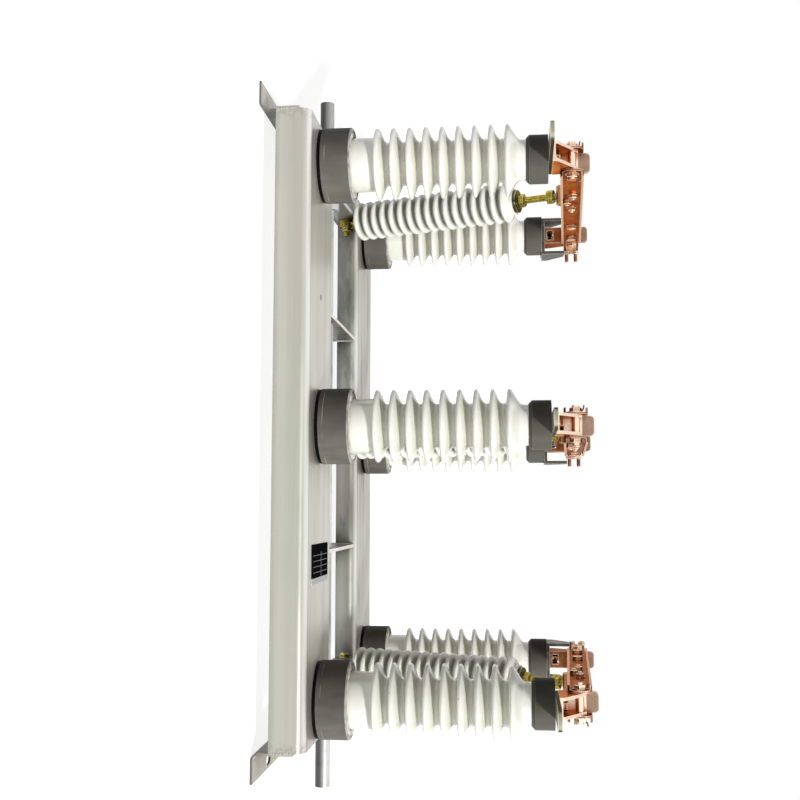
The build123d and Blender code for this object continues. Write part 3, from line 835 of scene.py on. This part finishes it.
class SWITCH_OT_finishes(bpy.types.Operator):
    """Gives every metal piece of the frame, the shaft, the blades and the rods its finish"""
    bl_idname = "switch.finishes"
    bl_label = "Metal finishes"

    def execute(self, context):
        tone = context.scene.switch_parts.colours
        beams, paint, metal, brass = tuple(tone.beams), tuple(tone.paint), tuple(tone.copper), tuple(tone.brass)
        beam_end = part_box("near_beam")[1][0]
        base_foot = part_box("near_base_middle")[0][2]
        phase_gap = pivot("blade_turn_right").x - pivot("blade_turn_middle").x
        start, axis = rod_axis("middle")
        painted_end_shade_length = (middle_of("rod_insulator_middle") - start).length + 0.1385
        FINISHES.update({
            "fastener tree": fastener_tree(),
            "blade copper": copper("Blade copper", tinted(metal, 0.55), None, 0.95, 0.012,
                                   rims=(phase_gap, 0.0229, 0.205)),
            "bright copper": copper("Bright copper", (0.95, 0.6, 0.4, 1), None, 0.4, 0.006),
            "dull brass": yellow_metal("Dull plating", tinted(brass, 0.55)),
            "zinc": bar_metal("Zinc plate", (0.62, 0.58, 0.46, 1), (300, 300, 300), 0.25),
            "wire": bar_metal("Dark wire", (0.12, 0.07, 0.045, 1), (300, 300, 300), 0.35),
            "weld": bar_metal("Weld metal", (0.4, 0.38, 0.33, 1), (300, 300, 300), 0.5, 0.5),
            "cement": cement("Cement")})
        for finish, nodes in (
                (stainless("Brushed stainless", beams, ends=beam_end), ["near_beam"]),
                # Far beam: the beam colour darkened as painted shade, with blotches of painted reflection.
                (stainless("Stainless with painted shade", tinted(beams, 0.8), 0.04, beam_end, 0.6), ["far_beam"]),
                # Cross plates: the beam colour darkened much as painted shade, with painted light on faces turned up.
                (stainless("Plate with painted shade", tinted(beams, 0.45), 0.06, None, 0.4, 0.95),
                 ["cross_plate_left", "cross_plate_right"]),
                (stainless("Dull stainless", tinted(beams, 0.9), 0.06),
                 [f"{row}_foot_{side}" for row in ROWS for side in ("left", "right")]),
                (casting("Painted base", paint, base_foot), of_phases("near_base", "far_base")),
                (casting("Painted casting", paint), of_phases("near_cap", "far_cap")),
                (copper("Hinge contact copper", metal, 0.4068, cut_ends_and_front_highlight=0.85, hollows=(0.3, 0.095, 0.035, 1)),
                 of_phases("near_contact")),
                # Far contacts: the copper colour darkened as painted shade.
                (copper("Clip contact copper", tinted(metal, 0.42), 0.4258, 0.9, 0.01), of_phases("far_contact")),
                (FINISHES["blade copper"], of_phases("blade")),
                (FINISHES["dull brass"], of_phases("rod_low_end")),
                (yellow_metal("Coppery eye", brass, 0.3815, (start, axis, painted_end_shade_length)), of_phases("rod_high_end")),
                # Terminal bars: painted shade on their sides.
                (bar_metal("Tinned bar", tuple(tone.tinned), (420, 20, 420), 0.36, painted_flank_shade=0.9),
                 of_phases("near_terminal")),
                (bar_metal("Dull bracket", (0.11, 0.105, 0.09, 1), (420, 20, 420), 0.42),
                 of_phases("far_terminal")),
                # Shaft: painted shade on its under side.
                (bar_metal("Drawn tube", (0.78, 0.79, 0.79, 1), (6, 400, 400), 0.26, 0.45, under=0.9),
                 ["operating_shaft"]),
                (plate_print("Plate print", "nameplate"), ["nameplate"])):
            dress(nodes, finish)
        return {"FINISHED"}


class SWITCH_OT_post_porcelain(bpy.types.Operator):
    """Turns the ribbed porcelain of the six posts"""
    bl_idname = "switch.post_porcelain"
    bl_label = "Post porcelain"

    def execute(self, context):
        values = context.scene.switch_parts
        sizes = values.posts
        # Posts: olive grey painted shade between the sheds.
        FINISHES["glaze"] = porcelain("Glaze", tuple(values.colours.glaze), (0.46, 0.455, 0.36, 1), 0.12, 0.02)
        tree = ribbed_tree("Post porcelain", POST_SHED, 19.0, POST_TIP)
        foot = post_foot("near", "middle").z
        low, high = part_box("near_insulator_middle")
        in_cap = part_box("near_cap_middle")[0][2] + 0.012
        for row in ROWS:
            piece = points_piece(f"{row}_porcelain", post_feet(row))
            grow(piece, tree, {
                "Sheds": sizes.sheds, "Pitch": sizes.pitch, "First shed": sizes.first_shed,
                "Foot": low[2] - foot, "Top": in_cap - foot, "Shed radius": (high[0] - low[0]) / 2,
                "Core radius": sizes.core_radius, "Plain radius": 0.036, "Neck radius": 0.0265,
                "Cone": sizes.cone, "Segments": 64, "Material": FINISHES["glaze"]})
            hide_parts(*[f"{row}_insulator_{phase}" for phase in PHASES])
            settle(piece, "frame")
        return {"FINISHED"}


class SWITCH_OT_rod_porcelain(bpy.types.Operator):
    """Turns the ribbed porcelain of the three pull rods"""
    bl_idname = "switch.rod_porcelain"
    bl_label = "Rod porcelain"

    def execute(self, context):
        values = context.scene.switch_parts
        sizes = values.rods
        # Rods: near black painted shadow between the sheds.
        glaze = porcelain("Rod glaze", tuple(values.colours.glaze), (0.035, 0.035, 0.027, 1), 0.37, 0.013)
        tree = ribbed_tree("Rod porcelain", ROD_SHED, 11.0, ROD_TIP)
        half, sunk, neck = 0.131, 0.0035, 0.0195
        pitch = 2 * half / sizes.sheds
        for phase in PHASES:
            _, axis = rod_axis(phase)
            centre = middle_of(f"rod_insulator_{phase}")
            piece = points_piece(f"rod_porcelain_{phase}", [centre - axis * (half + sunk)], [axis])
            grow(piece, tree, {
                "Sheds": sizes.sheds, "Pitch": pitch, "First shed": pitch * ROD_TIP, "Foot": -0.0005,
                "Top": 2 * half + sunk, "Shed radius": 0.03, "Core radius": sizes.core_radius,
                "Plain radius": neck, "Neck radius": neck, "Cone": pitch * 0.56, "Segments": 48,
                "Material": glaze})
            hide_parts(f"rod_insulator_{phase}")
            settle(piece, f"rod_{phase}")
        return {"FINISHED"}


class SWITCH_OT_cement(bpy.types.Operator):
    """Lays the rings of cement between the porcelain and the iron bases"""
    bl_idname = "switch.cement"
    bl_label = "Cement rings"

    def execute(self, context):
        tree = cement_tree()
        for row, spins in (("near", [0.4, 2.1, 4.0]), ("far", [1.2, 3.3, 5.2])):
            piece = points_piece(f"{row}_cement", post_feet(row), spins=spins)
            grow(piece, tree, {"Inner radius": 0.0358, "Outer radius": 0.045, "Level": 0.0395, "Rise": 0.0042,
                               "Roughness": 0.0042, "Material": FINISHES["cement"]})
            settle(piece, "frame")
        return {"FINISHED"}


HINGE_CLIPS = (
    ((0.0225, -0.0065), (0.0268, -0.0068), (0.0232, -0.005), (0.0215, 0), (0.0232, 0.0075), (0.0245, 0.0092),
     (0.0285, 0.0098)),
    ((-0.0232, -0.0012), (-0.0248, 0.0012), (-0.0245, 0.004), (-0.0205, 0.0052), (-0.019, 0.0078),
     (-0.0205, 0.01), (-0.0262, 0.0106)))


class SWITCH_OT_contact_fittings(bpy.types.Operator):
    """Sets the bolts of the contacts, and the nuts and wire clips on the hinge pins"""
    bl_idname = "switch.contact_fittings"
    bl_label = "Contact fittings"

    def execute(self, context):
        sizes = context.scene.switch_parts.fasteners
        on_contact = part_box("near_terminal_middle")[1][2] + 0.004
        for name, row, shift, bolt, spins in (
                ("hinge_contact_bolts", "near", -0.004,
                 (sizes.contact_bolt, 0.0052, 0.0088, 0.0014, 0.003, 0.001), [0.3, 0.8, 0.1]),
                ("clip_contact_bolts", "far", 0.017,
                 (sizes.contact_bolt + 0.002, 0.0075, 0.0098, 0.0016, 0.0045, 0.01), [0.5, 0.9, 0.2])):
            hex_piece(name, "frame", "copper", "blade copper", bolt,
                      [Vector((foot.x, foot.y + shift, on_contact)) for foot in post_feet(row)],
                      [(0, 0, 1)] * 3, spins)
        hinges = [pivot(f"blade_turn_{phase}") for phase in PHASES]
        hex_piece("hinge_nuts", "frame", "copper", "bright copper",
                  (sizes.hinge_nut, 0.005, 0.0092, 0.001, 0.0035, 0.001),
                  [hinge + Vector((side * BLADE_WEB, 0, 0)) for hinge in hinges for side in (-1, 1)],
                  [(-1, 0, 0), (1, 0, 0)] * 3, [0.2, 0.5, 0.1, 0.9, 0.4, 0.7])
        wires("hinge_clips", [[hinge + Vector((x, 0, z)) for x, z in clip] for hinge in hinges for clip in HINGE_CLIPS],
              0.001, FINISHES["wire"], "frame")
        return {"FINISHED"}


class SWITCH_OT_blade_fittings(bpy.types.Operator):
    """Sets the nuts, bolts and leaf springs of the blades"""
    bl_idname = "switch.blade_fittings"
    bl_label = "Blade fittings"

    def execute(self, context):
        sizes = context.scene.switch_parts.fasteners
        for phase in PHASES:
            body = f"blade_{phase}"
            for name, flats, rest, slot, finish, spots, spins in (
                    ("attach_bolts", sizes.attach_bolt, (0.0045, 0.0065, 0.001, 0.003, 0.003), "brass",
                     "bright copper", ((0.0985, 0.0015, 0), (0.128, -0.0065, 0), (0.164, 0, 0)),
                     [0.3, 0.7, 0.5, 0.1, 0.9, 0.4]),
                    ("blade_nuts", sizes.blade_nut, (0.0048, 0.008, 0.0012, 0.0035, 0.001), "copper",
                     "bright copper", ((0.27, 0, 0), (0.3423, 0, 0), (0.3764, 0, 0.002)),
                     [0.1, 0.5, 0.9, 0.2, 0.6, 0.3]),
                    ("jaw_nuts", sizes.jaw_nut, (0.0045, 0.006, 0.001, 0.0027, 0.001), "copper",
                     "zinc", ((0.4364, -0.0075, 0.002), (0.4364, 0.0075, 0.002)), [0.4, 0.1, 0.8, 0.5])):
                hex_piece(f"{name}_{phase}", body, slot, finish, (flats, *rest), *both_webs(phase, spots), spins)
            springs(f"leaf_springs_{phase}", [self.bow(phase, side) for side in (-1, 1)], 0.0085, 0.0014,
                    FINISHES["bright copper"], body)
        return {"FINISHED"}

    def bow(self, phase, side, start=0.366, length=0.082, lift=0.0032, steps=12):
        """Path of a leaf spring that lies on a web at its ends and bows away from it between them."""
        across = Vector((0, -sin(BLADE_TILT), cos(BLADE_TILT)))
        path = []
        for step in range(steps + 1):
            share = step / steps
            rise = lift * sin(share * tau / 2) ** 2
            place = on_blade(phase, start + share * length, 0, side * (BLADE_WEB + rise))
            path.append((place, across, Vector((side, 0, 0))))
        return path


class SWITCH_OT_rod_fittings(bpy.types.Operator):
    """Sets the nuts at the lower ends of the pull rods"""
    bl_idname = "switch.rod_fittings"
    bl_label = "Rod fittings"

    def execute(self, context):
        flats = context.scene.switch_parts.fasteners.rod_nut
        for phase in PHASES:
            low, axis = rod_axis(phase)
            hex_piece(f"pivot_nuts_{phase}", f"rod_{phase}", "brass", "dull brass",
                      (flats, 0.0055, 0.0085, 0.0012, 0.0045, 0.002),
                      [low + Vector((0.0062, 0, 0)), low + Vector((-0.0128, 0, 0))],
                      [(1, 0, 0), (-1, 0, 0)], [0.3, 0.6])
            hex_piece(f"stem_nut_{phase}", f"rod_{phase}", "brass", "dull brass",
                      (flats, 0.006, 0.0062, 0.0006, 0.0045, 0.001), [low + axis * 0.0152], [axis], [0.2])
        return {"FINISHED"}


class SWITCH_OT_beam_fittings(bpy.types.Operator):
    """Sets the nuts under the posts and lays the weld beads of the beams"""
    bl_idname = "switch.beam_fittings"
    bl_label = "Beam fittings"

    def execute(self, context):
        sizes = context.scene.switch_parts.fasteners
        under = Vector((0, 0, 0.0041))
        hex_piece("post_nuts", "frame", "castings", "zinc", (sizes.post_nut, 0.01, 0.017, 0.0025, 0.006, 0.007),
                  [foot - under for row in ROWS for foot in post_feet(row)], [(0, 0, -1)] * 6,
                  [0.1, 0.4, 0.8, 0.3, 0.9, 0.6])
        runs = []
        for plate in ("cross_plate_left", "cross_plate_right"):
            low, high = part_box(plate)
            runs += [[(x, y, low[2] + 0.002), (x, y, high[2] - 0.002)]
                     for x in (low[0], high[0]) for y in (low[1] + 0.0008, high[1] - 0.0008)]
        for row in ROWS:
            low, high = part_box(f"{row}_beam")
            y = low[1] + 0.0016 if row == "near" else high[1] - 0.0016
            runs += [[(x, y, low[2] + 0.003), (x, y, high[2] - 0.018)] for x in (low[0], high[0])]
        beads = edges_piece("weld_beads", runs)
        grow(beads, bead_tree(), {"Spacing": 0.0014, "Width": sizes.bead, "Seed": 3, "Material": FINISHES["weld"]})
        settle(beads, "frame")
        return {"FINISHED"}


class SWITCH_OT_studio(bpy.types.Operator):
    """Sets the camera, the lamps, the floor and the white surroundings"""
    bl_idname = "switch.studio"
    bl_label = "Studio"

    def execute(self, context):
        studio, scene = context.scene.switch_parts.studio, context.scene
        data = bpy.data.cameras.new("Camera")
        data.lens = studio.lens
        data.sensor_width = 36
        camera = new_piece("Camera", data)
        place = Vector(CAMERA_PLACE)
        back = (place - Vector(CAMERA_AIM)).normalized()
        level = Vector((0, 0, 1)).cross(back).normalized()
        side = level * cos(studio.roll) + back.cross(level) * sin(studio.roll)
        camera.matrix_world = Matrix.Translation(place) @ Matrix((side, back.cross(side), back)).transposed().to_4x4()
        scene.camera = camera
        self.lamp("Key", studio.key, 7, Vector((0.5, -0.66, 0.58)))
        self.lamp("Side", studio.side, 60, Vector((0.92, -0.3, 0.3)))
        self.floor()
        self.surroundings(scene, studio.fill)
        scene.view_settings.view_transform = "Standard"
        return {"FINISHED"}

    def shown(self, tree):
        """1 for the rays that show the surroundings, straight or in metal and glass, and 0 for the rest."""
        rays = new_node(tree, "ShaderNodeLightPath").outputs
        mirrored = maths("MAXIMUM", Value(rays["Is Glossy Ray"]), Value(rays["Is Transmission Ray"]))
        return maths("MAXIMUM", Value(rays["Is Camera Ray"]), mirrored)

    def lamp(self, name, strength, degrees, towards):
        """A lamp of an apparent size that shines from a direction onto the middle of the object."""
        data = bpy.data.lights.new(name, "SUN")
        data.energy = strength
        data.angle = radians(degrees)
        turn = towards.to_track_quat("Z", "Y").to_matrix().to_4x4()
        new_piece(name, data).matrix_world = Matrix.Translation(towards.normalized() * 3) @ turn

    def floor(self, reach=40.0):
        """A white floor that keeps the shadow."""
        corners = [(-reach, -reach, 0), (reach, -reach, 0), (reach, reach, 0), (-reach, reach, 0)]
        floor = mesh_piece("Floor", corners, [], [(0, 1, 2, 3)])
        material, _ = new_finish("Floor")
        surface, tree = surface_of(material), material.node_tree
        feed(surface, {"Base Color": (0.6, 0.6, 0.6, 1), "Roughness": 0.9, "Specular IOR Level": 0.1})
        glow = add(tree, "ShaderNodeEmission", {"Strength": self.shown(tree) * 0.82})
        both = add(tree, "ShaderNodeAddShader", {0: Value(surface.outputs[0]), 1: glow})
        feed(tree.nodes["Material Output"], {"Surface": both})
        floor.data.materials.append(material)

    def surroundings(self, scene, fill):
        """Soft light from all sides, plain white where the camera looks past the object."""
        world = bpy.data.worlds.new("Surroundings")
        scene.world = world
        world.use_nodes = True
        strength = self.shown(world.node_tree) * (1.0 - fill) + fill
        feed(world.node_tree.nodes["Background"], {"Color": (1, 1, 1, 1), "Strength": strength})


class SWITCH_PT_parts(bpy.types.Panel):
    """Lists the steps that dress the switch"""
    bl_label = "Disconnect switch"
    bl_idname = "SWITCH_PT_parts"
    bl_space_type = "VIEW_3D"
    bl_region_type = "UI"
    bl_category = "Switch"

    def draw(self, context):
        values = context.scene.switch_parts
        for group in (values.posts, values.rods, values.fasteners, values.colours, values.studio):
            box = self.layout.box()
            for name in group.__annotations__:
                box.prop(group, name)
        for step in STEPS:
            self.layout.operator(step.bl_idname)


STEPS = (SWITCH_OT_finishes, SWITCH_OT_post_porcelain, SWITCH_OT_rod_porcelain, SWITCH_OT_cement,
         SWITCH_OT_contact_fittings, SWITCH_OT_blade_fittings, SWITCH_OT_rod_fittings, SWITCH_OT_beam_fittings,
         SWITCH_OT_studio)
GROUPS = (PostSizes, RodSizes, FastenerSizes, Colours, Studio, SwitchParts)


def register():
    for one in (*GROUPS, *STEPS, SWITCH_PT_parts):
        bpy.utils.register_class(one)
    bpy.types.Scene.switch_parts = bpy.props.PointerProperty(type=SwitchParts)


def unregister():
    del bpy.types.Scene.switch_parts
    for one in reversed((*GROUPS, *STEPS, SWITCH_PT_parts)):
        bpy.utils.unregister_class(one)


def main():
    """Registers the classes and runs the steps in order."""
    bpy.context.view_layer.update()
    register()
    for step in STEPS:
        group, name = step.bl_idname.split(".")
        getattr(getattr(bpy.ops, group), name)()


if __name__ == "__main__":
    main()
